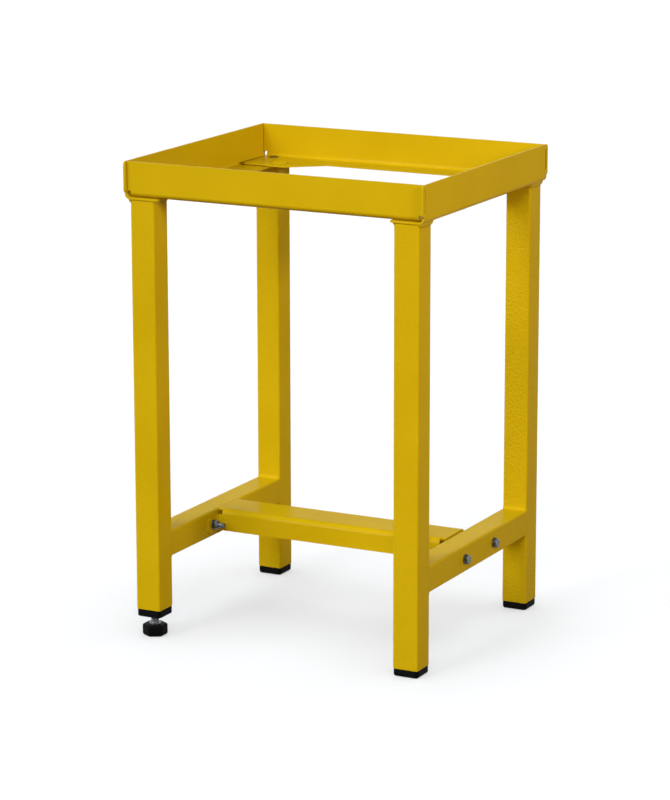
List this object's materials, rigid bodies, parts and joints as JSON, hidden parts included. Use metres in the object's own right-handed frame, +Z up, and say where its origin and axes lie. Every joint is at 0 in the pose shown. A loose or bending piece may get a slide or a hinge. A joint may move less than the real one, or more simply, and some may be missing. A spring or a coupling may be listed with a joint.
{
  "type": "tool chest stand",
  "caption": "Open steel stand with a folded sheet tray on square tube legs, a bolted cross rail, plastic end caps and a screw foot, made to carry a tool chest at bench height.",
  "frame": {"origin": "centre of the footprint on the floor", "axes": "+X to the right along the front, +Y to the back, +Z up"},
  "size_m": [0.486, 0.4324, 0.7227],
  "materials": {
    "yellow_paint": "semi-gloss orange-peel powder coat",
    "black_plastic": "satin moulded plastic",
    "zinc_plate": "bright zinc plate",
    "insert_plate": "yellow passivated zinc plate"
  },
  "bodies": {
    "stand": {"tray_side_rail_left": "yellow_paint", "tray_side_rail_right": "yellow_paint", "tray_front_rail": "yellow_paint", "tray_rear_rail": "yellow_paint", "leg_front_left": "yellow_paint", "leg_front_right": "yellow_paint", "leg_rear_left": "yellow_paint", "leg_rear_right": "yellow_paint", "lower_rail_left": "yellow_paint", "lower_rail_right": "yellow_paint", "cross_rail": "yellow_paint", "end_cap_front_right": "black_plastic", "end_cap_rear_left": "black_plastic", "end_cap_rear_right": "black_plastic", "foot_insert": "black_plastic", "bolt_front_left": "zinc_plate", "bolt_front_right": "zinc_plate", "bolt_rear_left": "zinc_plate", "bolt_rear_right": "zinc_plate", "head_washer_front_left": "zinc_plate", "head_washer_front_right": "zinc_plate", "head_washer_rear_left": "zinc_plate", "head_washer_rear_right": "zinc_plate", "nut_washer_front_left": "zinc_plate", "nut_washer_front_right": "zinc_plate", "nut_washer_rear_left": "zinc_plate", "nut_washer_rear_right": "zinc_plate", "nut_front_left": "zinc_plate", "nut_front_right": "zinc_plate", "nut_rear_left": "zinc_plate", "nut_rear_right": "zinc_plate", "foot_bush": "zinc_plate", "chest_insert_front_left": "insert_plate", "chest_insert_front_right": "insert_plate", "chest_insert_rear_left": "insert_plate", "chest_insert_rear_right": "insert_plate"},
    "foot_slide": {"foot_washer": "zinc_plate"},
    "screw_foot": {"foot_stud": "zinc_plate", "foot_base": "black_plastic"}
  },
  "joints": [
    {"name": "foot_travel", "type": "slide", "parent": "stand", "child": "foot_slide", "axis": [0, 0, -1], "range_m": [-0.01225, 0.0175]},
    {"name": "foot_turn", "type": "hinge", "parent": "foot_slide", "child": "screw_foot", "pos_m": [-0.2148, -0.1911, 0], "axis": [0, 0, -1], "range_deg": [-2520, 3600]}
  ],
  "couplings": [
    {"joint": "foot_travel", "follows": "foot_turn", "m_per_rad": 0.00027852}
  ]
}
